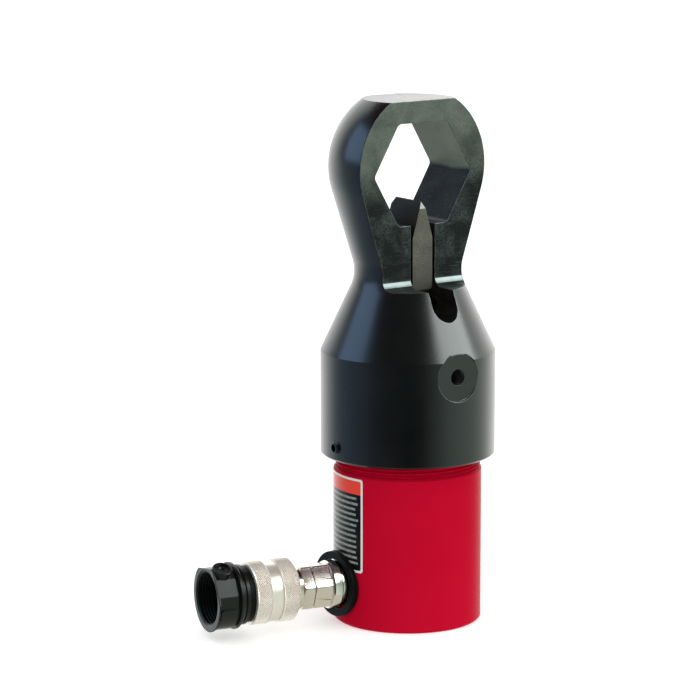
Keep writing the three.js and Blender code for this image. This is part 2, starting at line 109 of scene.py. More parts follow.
BARREL = Sizes(
    radius=BARREL_HIGH.x, height=BARREL_HIGH.z, shoulder=90.3, floor=14, bore=32.55, mouth=36.2,
    mouth_floor=118, major=42.07, minor=40.8, pitch=2.117,
)
COUPLER_PITCH = 25.4 / 14
SLEEVE = Sizes(rear=74.2, front=102, radius=18.1, inner=13.9, mouth=15.4)
TETHER_RING = Sizes(hole=14.6, radius=19.1, thickness=4.4, front=47.2, drop=0.3)
TETHER_LEAN = radians(11.5)
CAP = Sizes(mouth=126.25, rim=19.6, flange=19.2, foot=17.3, body=17.6, spigot=15.1)
BOSS = Sizes(top=20.6, radius=5.7, along=120.1, turn=radians(65))

# The coupler's own frame: its Z runs outwards along its axis, its Y is up.
spin = next(joint for joint in frame["joints"] if joint["name"] == "sleeve_spin")
outward = Vector(spin["axis"])
start = Vector(spin["pos_m"])
upward = Vector((0, 0, 1))
COUPLER = Matrix.Translation(start - outward * start.dot(outward)) @ Matrix(
    (upward.cross(outward), upward, outward)
).transposed().to_4x4()

# ---- Outlines ----

SMOOTH_TURN = radians(14)  # corners that turn less than this belong to a curve


def arc(x, y, radius, begin, end, steps):
    angles = np.linspace(begin, end, steps + 1)
    return [(x + radius * cos(a), y + radius * sin(a)) for a in angles]


def softened(outline, radius=0.3, closed=False, steps=3):
    """Rounds an outline's corners. Points on the axis and the two ends stay as they are."""
    points = [Vector(p) for p in outline]
    count = len(points)
    result = []
    for i, corner in enumerate(points):
        back = points[i - 1] - corner
        ahead = points[(i + 1) % count] - corner
        at_end = not closed and i in (0, count - 1)
        turn = 0 if at_end else pi - back.angle(ahead)
        if at_end or corner.x < 1e-6 or turn < SMOOTH_TURN:
            result.append(tuple(corner))
            continue
        reach = min(radius * tan(turn / 2), 0.45 * back.length, 0.45 * ahead.length)
        first = corner + back.normalized() * reach
        last = corner + ahead.normalized() * reach
        for k in range(steps + 1):
            t = k / steps
            result.append(tuple(first.lerp(corner, t).lerp(corner.lerp(last, t), t)))
    return result


def polygon(count, across_flats, corner=0, steps=1, centre=(0, 0)):
    """A regular polygon's outline, with each corner rounded where a corner radius is given."""
    half = pi / count
    reach = (across_flats / 2 - corner) / cos(half)
    points = []
    for i in range(count):
        angle = 2 * half * i
        x = centre[0] + reach * cos(angle)
        y = centre[1] + reach * sin(angle)
        if corner:
            points += arc(x, y, corner, angle - half, angle + half, steps)
        else:
            points.append((x, y))
    return points


def ridges(low, high, pitch, crest, root):
    """A row of vee ridges along a turned surface, such as a thread's section."""
    count = max(1, round((high - low) / pitch))
    step = (high - low) / count
    ridge = (root, 0.08), (crest, 0.42), (crest, 0.58), (root, 0.92)
    return [(radius, low + i * step + part * step) for i in range(count) for radius, part in ridge]


# ---- Meshes ----


def linked(name, data):
    obj = bpy.data.objects.new(name, data)
    bpy.context.scene.collection.objects.link(obj)
    return obj


def make(vertices, faces, material):
    mesh = bpy.data.meshes.new("piece")
    mesh.from_pydata([tuple(c * MM for c in v) for v in vertices], [], faces)
    solid = bmesh.new()
    solid.from_mesh(mesh)
    bmesh.ops.recalc_face_normals(solid, faces=solid.faces)
    solid.to_mesh(mesh)
    solid.free()
    mesh.materials.append(material)
    return linked("piece", mesh)


def lathe(outline, material, sides=96, closed=False, relief=None, knurl=None):
    """A piece turned about Z. relief gives a row's radii round the piece. knurl is (depth, rows):
    those rows stand in and out by turns, so that the faces between them are small pyramids."""
    angles = np.linspace(0, TURN, sides, endpoint=False)
    depth, knurled = knurl or (0, ())
    vertices, rings = [], []
    for row, (radius, height) in enumerate(outline):
        first = len(vertices)
        if radius < 1e-6:
            vertices.append((0, 0, height))
            rings.append([first])
            continue
        radii = relief(radius, height, angles) if relief else np.full(sides, float(radius))
        if row in knurled:
            radii = radii - depth * ((np.arange(sides) + row) % 2)
        vertices += list(zip(radii * np.cos(angles), radii * np.sin(angles), np.full(sides, height)))
        rings.append(list(range(first, first + sides)))
    faces = []
    for low in range(len(rings) if closed else len(rings) - 1):
        high = (low + 1) % len(rings)
        lower, upper = rings[low], rings[high]
        for i in range(sides):
            j = (i + 1) % sides
            a, b = lower[i % len(lower)], lower[j % len(lower)]
            c, d = upper[j % len(upper)], upper[i % len(upper)]
            if low in knurled and high in knurled:
                dented = (i + low) % 2 == 1
                faces += [(a, b, c), (a, c, d)] if dented else [(a, b, d), (b, c, d)]
            elif len(lower) + len(upper) > 2:
                faces.append(tuple(dict.fromkeys((a, b, c, d))))
    return make(vertices, faces, material)


def turned(outline, soft, material, sides=96, closed=False):
    """A turned piece with its corners rounded."""
    return lathe(softened(outline, soft, closed), material, sides, closed)


def tube(inner, outer, low, high, material, sides=96, soft=0.2):
    outline = [(inner, low), (outer, low), (outer, high), (inner, high)]
    return turned(outline, soft, material, sides, closed=True)


def bar(radius, low, high, material, sides=64, soft=0.2):
    outline = [(0, low), (radius, low), (radius, high), (0, high)]
    return turned(outline, soft, material, sides)


def prism(outline, low, high, axes, material):
    """An outline drawn out from low to high. axes says where its two coordinates and its length
    lie: xzy draws an outline of x and z pairs out along y."""
    count = len(outline)
    vertices = []
    for length in (low, high):
        for pair in outline:
            places = dict(zip(axes, (*pair, length)))
            vertices.append([places[axis] for axis in "xyz"])
    faces = [tuple(range(count)), tuple(range(2 * count - 1, count - 1, -1))]
    faces += [(i, (i + 1) % count, count + (i + 1) % count, count + i) for i in range(count)]
    return make(vertices, faces, material)


def coil(mean_radius, wire, low, high, turns, material, around=28, sides=10):
    """Round wire wound along Z, with its ends closed."""
    steps = round(turns * around)
    vertices = []
    lead = (high - low) / (turns * TURN * mean_radius)
    for i in range(steps + 1):
        angle = TURN * turns * i / steps
        centre = Vector((mean_radius * cos(angle), mean_radius * sin(angle), 0))
        centre.z = low + (high - low) * i / steps
        outwards = Vector((cos(angle), sin(angle), 0))
        along = Vector((-sin(angle), cos(angle), lead)).normalized()
        across = along.cross(outwards)
        for k in range(sides):
            turn = TURN * k / sides
            vertices.append(centre + wire * (cos(turn) * outwards + sin(turn) * across))
    faces = [tuple(range(sides)), tuple(range(steps * sides, (steps + 1) * sides))]
    for i in range(steps):
        for k in range(sides):
            a, b = i * sides + k, i * sides + (k + 1) % sides
            faces.append((a, b, b + sides, a + sides))
    return make(vertices, faces, material)


def curved_patch(inner, outer, span, heights, corner, columns, material):
    """A round-cornered sheet bent about Z, from span[0] to span[1] in radians."""
    rows = 8
    across = rows + 1
    low, high = heights
    length = (span[1] - span[0]) * outer
    vertices = []
    for radius in (inner, outer):
        for i in range(columns + 1):
            along = length * (1 - cos(pi * i / columns)) / 2
            from_end = min(along, length - along, corner)
            cutback = corner - sqrt(corner**2 - (corner - from_end) ** 2)
            angle = span[0] + along / outer
            for k in range(across):
                z = low + cutback + (high - low - 2 * cutback) * k / rows
                vertices.append((radius * cos(angle), radius * sin(angle), z))
    last = columns * across
    sheet = last + across
    faces = []
    for i in range(columns):
        for k in range(rows):
            a = i * across + k
            quad = (a, a + 1, a + across + 1, a + across)
            faces += [quad, tuple(v + sheet for v in quad)]
    # Round the sheet's edge: along its low side, up, back along its high side, and down.
    rim = [*range(0, sheet, across), *range(last + 1, sheet)]
    rim += [*range(last - 1, rows - 1, -across), *range(rows - 1, 0, -1)]
    for a, b in zip(rim, rim[1:] + rim[:1]):
        faces.append((a, b, b + sheet, a + sheet))
    return make(vertices, faces, material)


def pointed(obj, direction, place=(0, 0, 0)):
    """Turns a piece made along Z to point another way, then moves it."""
    turn = Vector((0, 0, 1)).rotation_difference(Vector(direction)).to_matrix().to_4x4()
    obj.data.transform(Matrix.Translation(Vector(place) * MM) @ turn)
    return obj


def bake(obj):
    """Applies the modifiers."""
    graph = bpy.context.evaluated_depsgraph_get()
    finished = bpy.data.meshes.new_from_object(obj.evaluated_get(graph), depsgraph=graph)
    obj.modifiers.clear()
    obj.data = finished
    return obj


def combine(obj, operation, *others):
    """Joins, cuts or meets a piece with others, which are used up."""
    for other in others:
        step = obj.modifiers.new("combine", "BOOLEAN")
        step.operation = operation
        step.solver = "EXACT"
        step.material_mode = "TRANSFER"
        step.object = other
    bake(obj)
    for other in others:
        bpy.data.objects.remove(other)
    return obj


def cut(obj, *tools):
    return combine(obj, "DIFFERENCE", *tools)


def join(obj, *others):
    return combine(obj, "UNION", *others)


def broken_edges(obj, width, angle=32, material=None):
    """Takes the sharpness off a piece's edges, as a file does."""
    solid = bmesh.new()
    solid.from_mesh(obj.data)
    bmesh.ops.remove_doubles(solid, verts=solid.verts, dist=0.02 * MM)
    bmesh.ops.dissolve_degenerate(solid, edges=solid.edges, dist=0.01 * MM)
    solid.to_mesh(obj.data)
    solid.free()
    step = obj.modifiers.new("broken edges", "BEVEL")
    step.limit_method = "ANGLE"
    step.angle_limit = radians(angle)
    step.width = width * MM
    step.segments = 2
    step.use_clamp_overlap = False
    if material:
        obj.data.materials.append(material)
        step.material = len(obj.data.materials) - 1
    return bake(obj)


def fit(obj, node, coupler=False, sharp=38):
    """Shades a finished piece and puts it where its CAD node is, on the same body."""
    obj.data.shade_smooth()
    obj.data.set_sharp_from_angle(angle=radians(sharp))
    step = obj.modifiers.new("normals", "WEIGHTED_NORMAL")
    step.keep_sharp = True
    bake(obj)
    if coupler:
        obj.matrix_world = COUPLER
    obj.name = "fine_" + node
    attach(obj, frame["nodes"][node]["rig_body"])
    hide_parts(node)
    return obj


# ---- Materials ----


class Nodes:
    """A node tree, with short calls for the nodes that the finishes and the world share."""

    def __init__(self, owner):
        owner.use_nodes = True
        self.tree = owner.node_tree
        self.tree.nodes.clear()

    def node(self, kind, inputs=None, **settings):
        node = self.tree.nodes.new("ShaderNode" + kind)
        for key, value in settings.items():
            setattr(node, key, value)
        for key, value in (inputs or {}).items():
            self.feed(node.inputs[key], value)
        return node

    def feed(self, socket, value):
        if isinstance(value, bpy.types.NodeSocket):
            self.tree.links.new(value, socket)
        else:
            socket.default_value = value

    def axes(self, place):
        return self.node("SeparateXYZ", {0: place}).outputs

    def math(self, operation, a, b=0.0):
        return self.node("Math", {0: a, 1: b}, operation=operation).outputs[0]

    def spread(self, value, low=0, high=1, source=(0.3, 0.7), **settings):
        """Maps a texture's usual range to low and high."""
        names = ("From Min", "From Max", "To Min", "To Max")
        inputs = {"Value": value, **dict(zip(names, (*source, low, high)))}
        return self.node("MapRange", inputs, **settings).outputs[0]

    def blend(self, factor, first, second):
        inputs = {"Factor": factor, 6: opaque(first), 7: opaque(second)}
        return self.node("Mix", inputs, data_type="RGBA").outputs[2]


class Finish(Nodes):
    """A material's nodes, round one Principled BSDF."""

    def __init__(self, name):
        self.material = bpy.data.materials.new(name)
        super().__init__(self.material)
        self.surface = self.node("BsdfPrincipled")
        self.node("OutputMaterial", {"Surface": self.surface.outputs["BSDF"]})
        self.place = self.node("TexCoord").outputs["Object"]

    def set(self, **values):
        for key, value in values.items():
            name = key.replace("_", " ").title().replace("Ior", "IOR")
            self.feed(self.surface.inputs[name], value)
        return self.material

    def stretched(self, x, y, z):
        inputs = {"Vector": self.place, "Scale": (x, y, z)}
        return self.node("Mapping", inputs).outputs[0]

    def noise(self, scale, detail, place=None, distortion=0.0):
        inputs = {"Vector": place or self.place, "Scale": scale}
        inputs |= {"Detail": detail, "Distortion": distortion}
        return self.node("TexNoise", inputs).outputs[0]

    def bump(self, height, depth, normal=None):
        """A height in the range 0 to 1 that stands up by depth millimetres."""
        inputs = {"Height": height, "Distance": depth * MM, "Strength": 1.0}
        if normal:
            inputs["Normal"] = normal
        return self.node("Bump", inputs).outputs[0]

    def lines(self, pitch, direction, distortion):
        """Fine parallel tool marks."""
        inputs = {"Vector": self.place, "Scale": TURN / (20 * pitch * MM)}
        inputs |= {"Distortion": distortion, "Detail": 1.0}
        return self.node("TexWave", inputs, bands_direction=direction).outputs["Fac"]


def opaque(colour):
    return (*colour, 1.0) if isinstance(colour, tuple) else colour


def mottled(name, cloud, colours, rough, grain=None, extra=0, depth=0, marks=None, **values):
    """A finish whose colour and roughness follow a soft cloud. cloud and grain are noises, given
    as (scale, detail). The grain roughens the finish by up to extra and stands up by depth.
    marks are the lathe's, as (pitch, distortion, depth)."""
    finish = Finish(name)
    mottle = finish.noise(*cloud)
    colour = finish.blend(finish.spread(mottle), *colours)
    finish.set(base_color=colour, **values)
    roughness, normal = finish.spread(mottle, *rough), None
    if grain:
        fine = finish.noise(*grain)
        roughness = finish.math("ADD", roughness, finish.spread(fine, 0, extra))
        normal = finish.bump(fine, depth)
    if marks:
        pitch, distortion, height = marks
        normal = finish.bump(finish.lines(pitch, "Z", distortion), height, normal)
    if normal:
        finish.set(normal=normal)
    return finish.set(roughness=roughness)


def milled_oxide(name, heights, pale, dark):
    """Flat faces with stray scratches, pale above and dark below: painted light on the upper faces and
    painted shade on the lower ones, changing between two heights; pale and dark are each a pair of
    colours."""
    finish = Finish(name)
    mottle = finish.noise(70, 5, distortion=0.4)
    speckle = finish.noise(900, 3)
    scratch = finish.noise(120, 2, finish.stretched(1, 1, 9), 1.5)
    swirl = finish.lines(0.9, "X", 6)
    height = finish.axes(finish.place)[2]
    reach = (heights[1] - heights[0]) * 0.4
    uneven = finish.math("ADD", height, finish.spread(finish.noise(28, 3), -reach, reach))
    # film is the height mask, 0 below and 1 above: it blends the painted shade into the painted light.
    film = finish.spread(uneven, 0, 1, heights)
    light = finish.math("ADD", finish.spread(mottle, 0, 0.7), finish.spread(speckle, -0.1, 0.35))
    patch = finish.spread(mottle, 0.1, 1, (0.42, 0.62))
    patch = finish.math("MULTIPLY", patch, finish.spread(speckle, 0, 1.4))
    streak = finish.spread(scratch, 0, 1, (0.63, 0.70))
    colour = finish.blend(film, finish.blend(patch, *dark), finish.blend(light, *pale))
    colour = finish.blend(finish.math("MULTIPLY", streak, 0.22), colour, (0.13, 0.155, 0.14))
    rough = finish.math("ADD", finish.spread(mottle, 0.26, 0.36), finish.math("MULTIPLY", film, 0.1))
    normal = finish.bump(speckle, 0.008, finish.bump(swirl, 0.0015))
    return finish.set(base_color=colour, roughness=rough, normal=normal, ior=1.25)


def plated(name, low, high, metallic=1.0):
    """Nickel plate: bright, a little warm, with faint turning marks."""
    colours = (0.86, 0.80, 0.71), (0.93, 0.88, 0.80)
    marks = (0.35, 0.5, 0.0006)
    return mottled(
        name, (60, 3), colours, (low, high), (1400, 2), 0.04, 0.001, marks, metallic=metallic
    )


def black_plastic(name, ior):
    colours = (0.002, 0.0035, 0.003), (0.006, 0.0085, 0.007)
    return mottled(name, (90, 3), colours, (0.26, 0.34), (2200, 2), 0.06, 0.006, ior=ior)


def worn_edge():
    finish = Finish("worn steel edge")
    wear = finish.noise(260, 4)
    amount = finish.spread(wear, 0, 1, (0.35, 0.6))
    colour = finish.blend(amount, (0.05, 0.06, 0.058), (0.13, 0.15, 0.145))
    return finish.set(base_color=colour, roughness=finish.spread(wear, 0.45, 0.28), metallic=0.8)


def painted_fillet_highlight():
    """A painted highlight: a bright band of colour along the fillet between the slab and its shelf."""
    finish = Finish("milled fillet")
    wear = finish.noise(180, 4)
    streak = finish.noise(160, 2, finish.stretched(0.1, 1.0, 1.0))
    colour = finish.blend(finish.spread(wear), (0.17, 0.215, 0.205), (0.29, 0.355, 0.34))
    rough = finish.math("ADD", finish.spread(wear, 0.4, 0.5), finish.spread(streak, 0, 0.08))
    return finish.set(base_color=colour, roughness=rough, metallic=0.6)


def blade_steel():
    """Ground tool steel, brownish, darker towards the root."""
    finish = Finish("blade steel")
    mottle = finish.noise(90, 5)
    speckle = finish.noise(1300, 3)
    grinding = finish.noise(180, 2, finish.stretched(1, 1, 0.06))
    height = finish.axes(finish.place)[2]
    colour = finish.blend(finish.spread(mottle), (0.062, 0.057, 0.036), (0.150, 0.143, 0.098))
    # film darkens the blade towards its root, below about 222 mm.
    film = finish.spread(height, 0.75, 0, (0.196, 0.222))
    colour = finish.blend(film, colour, (0.030, 0.030, 0.015))
    colour = finish.blend(finish.spread(speckle, 0, 0.85), colour, (0.03, 0.028, 0.02))
    rough = finish.spread(mottle, 0.42, 0.56)
    normal = finish.bump(grinding, 0.006, finish.bump(speckle, 0.01))
    return finish.set(base_color=colour, roughness=rough, normal=normal, metallic=0.15, ior=1.5)


def red_paint():
    finish = Finish("red enamel")
    cloud = finish.noise(14, 3)
    peel = finish.noise(190, 2)
    dust = finish.noise(1600, 2)
    colour = finish.blend(finish.spread(cloud), (0.46, 0.0026, 0.021), (0.52, 0.0036, 0.026))
    rough = finish.math("ADD", finish.spread(cloud, 0.22, 0.27), finish.spread(dust, 0, 0.04))
    return finish.set(base_color=colour, roughness=rough, normal=finish.bump(peel, 0.006), ior=1.06)


LABEL_FROM = radians(72.2)  # angles run from -Y towards -X
LABEL_SWEEP = radians(90.8)
LABEL_GAP, LABEL_THICKNESS = 0.06, 0.2
LABEL_EDGE = 1.3  # width of the white border
LABEL_BAND = 9.2  # height of the red band below the top edge, border included
LABEL_LINE = 3.15  # from one printed rule to the next


def label_film():
    """A glossy label: white border, red band, and plain grey rules in place of words."""
    finish = Finish("label film")
    step = finish.math
    axes = finish.axes(finish.place)
    angle = step("ARCTAN2", step("MULTIPLY", axes[0], -1), step("MULTIPLY", axes[1], -1))
    across = step("MULTIPLY", step("SUBTRACT", angle, LABEL_FROM + LABEL_SWEEP / 2), BARREL.radius)
    middle = (LABEL_LOW.z + LABEL_HIGH.z) / 2
    upward = step("SUBTRACT", step("DIVIDE", axes[2], MM), middle)
    half_width = LABEL_SWEEP * BARREL.radius / 2
    half_height = (LABEL_HIGH.z - LABEL_LOW.z) / 2
    corner = 1.2
    reach = 0
    for value, half in ((across, half_width), (upward, half_height)):
        inset = half - LABEL_EDGE - corner
        gap = step("MAXIMUM", step("SUBTRACT", step("ABSOLUTE", value), inset), 0)
        reach = step("ADD", reach, step("POWER", gap, 2))
    border = finish.spread(step("SQRT", reach), 0, 1, (corner - 0.08, corner + 0.08))
    down = step("SUBTRACT", half_height, upward)
    band = finish.spread(down, 1, 0, (LABEL_BAND - 0.08, LABEL_BAND + 0.08))
    first_line = LABEL_BAND + 0.9
    line = step("DIVIDE", step("SUBTRACT", down, first_line), LABEL_LINE)
    number = step("FLOOR", line)
    height = step("ABSOLUTE", step("SUBTRACT", step("FRACT", line), 0.5))
    rule = finish.spread(height, 1, 0, (0.19, 0.24))
    length = finish.node("TexWhiteNoise", {"W": number}, noise_dimensions="1D").outputs[0]
    end = step("SUBTRACT", half_width - 3.2, step("MULTIPLY", length, 2.5))
    rule = step("MULTIPLY", rule, step("LESS_THAN", step("ABSOLUTE", across), end))
    rule = step("MULTIPLY", rule, step("LESS_THAN", step("ABSOLUTE", upward), half_height - 3.4))
    rule = step("MULTIPLY", rule, step("GREATER_THAN", down, first_line))
    ink = finish.spread(finish.noise(700, 2), 0.35, 0.8)
    scuff = finish.noise(160, 4)
    field = finish.blend(finish.spread(scuff), (0.002, 0.003, 0.003), (0.005, 0.006, 0.006))
    colour = finish.blend(step("MULTIPLY", rule, ink), field, (0.42, 0.45, 0.43))
    colour = finish.blend(band, colour, (0.80, 0.060, 0.035))
    colour = finish.blend(border, colour, (0.72, 0.76, 0.74))
    finish.set(base_color=colour, roughness=finish.spread(scuff, 0.16, 0.24), ior=1.27)
    return finish.set(normal=finish.bump(scuff, 0.006))


OXIDE = mottled(
    "black oxide, turned", (38, 4), ((0.0015, 0.0024, 0.0026), (0.0035, 0.0048, 0.005)),
    (0.18, 0.24), (1500, 2), 0.05, 0.004, (0.55, 0.6, 0.0012), ior=1.6,
)
# The slab's milled faces: painted light high up, fading into painted shade between 238 and 280 mm.
MILLED = milled_oxide(
    "black oxide, milled", (0.238, 0.280),
    ((0.050, 0.067, 0.054), (0.120, 0.152, 0.120)), ((0.0015, 0.0026, 0.003), (0.030, 0.045, 0.041)),
)
# The opening's walls: painted light on the upper walls and painted shade on the lower ones, split near
# the opening's middle height.
WALL = milled_oxide(
    "black oxide, opening", (0.2598, 0.2624),
    ((0.105, 0.137, 0.105), (0.210, 0.262, 0.205)), ((0.0012, 0.003, 0.0055), (0.011, 0.021, 0.028)),
)
# A painted highlight for the middle of the shelf fillet.
FILLET_HIGHLIGHT = painted_fillet_highlight()
WORN = worn_edge()
BLADE_STEEL = blade_steel()
# Painted shade: a much darker steel for the blade's sides, and for the slot that they slide in.
SHADED_FLANK = mottled(
    "blade flank", (240, 5), ((0.004, 0.0035, 0.003), (0.016, 0.012, 0.011)),
    (0.4, 0.5), (1300, 2), 0.06, 0.008, ior=1.3,
)
GROUND = mottled(
    "ground cutting edge", (600, 3), ((0.14, 0.145, 0.13), (0.24, 0.24, 0.21)),
    (0.34, 0.46), metallic=0.3,
)
RED = red_paint()
NICKEL = plated("nickel plate", 0.10, 0.16)
SATIN = plated("nickel plate, satin", 0.24, 0.32, 0.6)
KNURLED = plated("nickel plate, knurled", 0.22, 0.30, 0.5)
SEALED_THREAD = mottled(
    "sealed thread", (420, 4), ((0.06, 0.045, 0.03), (0.55, 0.44, 0.28)),
    (0.5, 0.3), (420, 4), 0, 0.02, metallic=0.8,
)
PLASTIC = black_plastic("black moulded plastic", 1.42)
# Painted shade: the same plastic with a weaker reflection, for the inside of the cap's mouth.
SHADED_PLASTIC = black_plastic("black moulded plastic, inside", 1.18)
RUBBER = mottled(
    "black rubber", (80, 4), ((0.0015, 0.002, 0.0015), (0.007, 0.008, 0.006)),
    (0.42, 0.56), (1800, 3), 0, 0.012, ior=1.22,
)
STEEL = mottled(
    "machined steel", (50, 3), ((0.36, 0.37, 0.38), (0.50, 0.50, 0.50)),
    (0.24, 0.36), marks=(0.3, 0.4, 0.0015), metallic=1.0,
)
BRONZE = mottled(
    "bronze-filled bearing", (120, 4), ((0.30, 0.19, 0.08), (0.47, 0.32, 0.16)),
    (0.35, 0.35), (1500, 3), 0.2, 0.01, metallic=0.6,
)
POLYMER = mottled(
    "seal polymer", (100, 3), ((0.03, 0.11, 0.26), (0.05, 0.16, 0.34)),
    (0.38, 0.38), (1500, 2), 0.12, 0.005, ior=1.5,
)
FILM = label_film()

# ---- Cutter head ----

FAR = 75  # half-length of a tool that runs right through the head


def head_outline():
    """The head's turned outside, from the skirt's mouth up to the flat top."""
    h = HEAD
    cone, flare, fillet = h.cone_angle, h.flare_angle, h.neck_fillet
    flare_x = h.dome_offset + h.dome_radius * cos(flare)
    flare_z = h.dome_z - h.dome_radius * sin(flare)
    # The cone and the flare would meet here if the neck had no fillet.
    meet_z = h.radius - flare_x + tan(cone) * h.cone_start + tan(flare) * flare_z
    meet_z /= tan(cone) + tan(flare)
    meet_x = h.radius - tan(cone) * (meet_z - h.cone_start)
    spread = 1 + cos(cone + flare)
    neck_x = meet_x + fillet * (cos(cone) + cos(flare)) / spread
    neck_z = meet_z + fillet * (sin(cone) - sin(flare)) / spread
    top_angle = asin((h.top - h.dome_z) / h.dome_radius)
    chamfer = 1.2
    return [
        (h.radius - chamfer, h.bottom), (h.radius, h.bottom + chamfer), (h.radius, h.cone_start),
        *arc(neck_x, neck_z, fillet, pi + cone, pi - flare, 24),
        *arc(h.dome_offset, h.dome_z, h.dome_radius, -flare, top_angle, 48),
    ]


def head_bores():
    h = HEAD
    return [
        (0, h.guide_top), (h.guide_bore, h.guide_top), (h.guide_bore, h.ram_top),
        (h.ram_bore, h.ram_top), (h.ram_bore, h.thread_top), (h.thread_bore, h.thread_top),
        (h.thread_bore, h.bottom + 1), (h.thread_bore + 1, h.bottom),
    ]


def slab_tool(face, side):
    """The space milled away beside the slab, down to a shelf with a hollow fillet."""
    shelf, fillet = HEAD.shelf, HEAD.shelf_fillet
    face_angle = TURN if side < 0 else pi
    hollow = arc(face + side * fillet, shelf + fillet, fillet, 1.5 * pi, face_angle, 12)
    far, high = side * FAR, HEAD.top + 5
    outline = [(far, shelf), *hollow, (face, high), (far, high)]
    tool = prism(outline, -FAR, FAR, "yzx", MILLED)
    # The middle of the fillet takes a bright colour: a painted highlight.
    tool.data.materials.append(FILLET_HIGHLIGHT)
    for facet in tool.data.polygons:
        if shelf + 0.25 * fillet < facet.center.z / MM < shelf + 0.8 * fillet:
            facet.material_index = 1
    return tool


def spot_tool():
    """An end mill's spot face: its floor keeps the rings that the cutter left."""
    radius, floor = KEY_HOLE.spot_radius, -KEY_HOLE.spot_y
    ring, wave = 0.9, 0.03
    rows = [(0, floor)]
    for i in range(int((radius - 0.6) / ring)):
        rows += [((i + 0.35) * ring, floor + wave), ((i + 0.85) * ring, floor - wave)]
    rows += [(radius, floor), (radius, FAR), (0, FAR)]
    return pointed(lathe(rows, OXIDE), (0, -1, 0), (0, 0, KEY_HOLE.z))


def threaded_hole(radius, near, far, direction, height):
    """A tapped hole's tool, from near to far along a direction away from the axis."""
    rows = [(0, near), *ridges(near, far, 1.25, radius, radius - 0.55), (0, far)]
    return pointed(lathe(rows, OXIDE, 40), direction, (0, 0, height))


def cutter_head():
    outline = softened([*head_bores(), *head_outline(), (0, HEAD.top)], 0.35)
    blank = lathe(outline, OXIDE, 192)
    opening, half = HEX_OPENING, SLOT.half
    hexagon = polygon(6, opening.across_flats, opening.corner, 8, (0, opening.z))
    slot = arc(0, SLOT.bottom + half, half, pi, TURN, 24)
    slot += [(half, opening.z), (-half, opening.z)]
    lock = LOCK_SCREW
    spot_depth = -KEY_HOLE.spot_y + 1
    # The opening's walls take painted light and shade, and the slot's walls the darker steel's painted
    # shade.
    cut(
        blank, slab_tool(HEAD.front, -1), slab_tool(HEAD.back, 1),
        prism(hexagon, -FAR, FAR, "xzy", WALL), prism(slot, -FAR, FAR, "xzy", SHADED_FLANK), spot_tool(),
        threaded_hole(KEY_HOLE.radius + 0.3, 20, spot_depth, (0, -1, 0), KEY_HOLE.z),
        threaded_hole(lock.radius + 0.45, 30, FAR, (-1, 0, 0), lock.z),
    )
    broken_edges(blank, 0.26, material=WORN)
    # A corner of a broken edge can stand a hair above the flat top.
    for vertex in blank.data.vertices:
        vertex.co.z = min(vertex.co.z, HEAD.top * MM)
    fit(blank, "cutter_head")


def socket_screw(radius, length, material):
    """A set screw with a threaded shank, a cup point at the bottom and a hexagonal socket."""
    point, edge, socket = radius * 0.55, 0.5, 4
    rows = [(0, 0.5), (point - 0.5, 0), (point, 0), (radius - 0.3, edge * 1.6)]
    rows += ridges(edge * 2, length - edge, 1.0, radius, radius - 0.5)
    rows += [(radius - 0.5, length - 0.1), (radius - 0.9, length), (0, length)]
    screw = lathe(rows, material, 48)
    tool = prism(polygon(6, socket), length * 0.5, length + 2, "xyz", material)
    return cut(screw, tool)


def set_screws():
    lock = LOCK_SCREW
    screw = socket_screw(lock.radius, lock.length, OXIDE)
    pointed(screw, (-1, 0, 0), (lock.length - lock.reach, 0, lock.z))
    fit(screw, "head_lock_screw")
    low, high = corners("blade_set_screw")
    screw = socket_screw(high.x, high.y - low.y, STEEL)
    pointed(screw, (0, -1, 0), (0, high.y, (low.z + high.z) / 2))
    fit(screw, "blade_set_screw")


# ---- Blade and holder ----


def chisel_blade():
    b = BLADE
    corner = 2
    outline = [
        *arc(-b.half + corner, b.bottom + corner, corner, pi, 1.5 * pi, 6),
        *arc(b.half - corner, b.bottom + corner, corner, 1.5 * pi, TURN, 6),
        (b.half, b.wedge_z), (b.bevel_half, b.bevel_z), (0, b.tip), (-b.bevel_half, b.bevel_z),
        (-b.half, b.wedge_z),
    ]
    blade = prism(outline, -b.depth, b.depth, "xzy", BLADE_STEEL)
    # The sides and bevels, facing along X, take the darker steel: painted shade.
    blade.data.materials.append(SHADED_FLANK)
    for facet in blade.data.polygons:
        if abs(facet.normal.x) > 0.5:
            facet.material_index = 1
    join(blade, bar(b.shank, b.shank_end, b.bottom + 3, BLADE_STEEL, soft=1.0))
    ends = []
    for side in (-1, 1):
        face = side * b.depth
        inner, outer, high = face - side * b.end_chamfer, face + side * 3, b.tip + 3
        rise = (b.tip - b.bevel_z) / b.end_chamfer
        section = [
            (inner - side * 3 / rise, high), (face + side * 3 / rise, b.bevel_z - 3),
            (outer, b.bevel_z - 3), (outer, high),
        ]
        ends.append(prism(section, -b.half - 1, b.half + 1, "yzx", GROUND))
    cut(blade, *ends)
    broken_edges(blade, 0.25, 20)
    fit(blade, "chisel_blade")


def blade_holder():
    outline = [
        (0, 118), (12.2, 118), (12.2, 140.2), (17, 140.2), (17, 163), (6.65, 163), (6.65, 146), (0, 146),
    ]
    holder = turned(outline, 0.7, STEEL)
    cut(holder, pointed(bar(4.1, 0, 30, STEEL, 48), (0, -1, 0), (0, 0, KEY_HOLE.z)))
    broken_edges(holder, 0.25)
    fit(holder, "blade_holder")


# ---- Cylinder ----


def vee_thread(major, depth, pitch, low, high):
    """Radii of a helical thread on the rows that lie on its major radius."""

    def radii(radius, height, angles):
        if abs(radius - major) > 1e-6 or not low <= height <= high:
            return np.full(len(angles), float(radius))
        phase = (height / pitch - angles / TURN) % 1
        vee = np.clip(np.abs(2 * phase - 1) * 1.35 - 0.2, 0, 1)
        fade = min(1, (height - low) / pitch * 2.5, (high - height) / pitch * 2.5)
        return radius - depth * (1 - fade + fade * vee)

    return radii


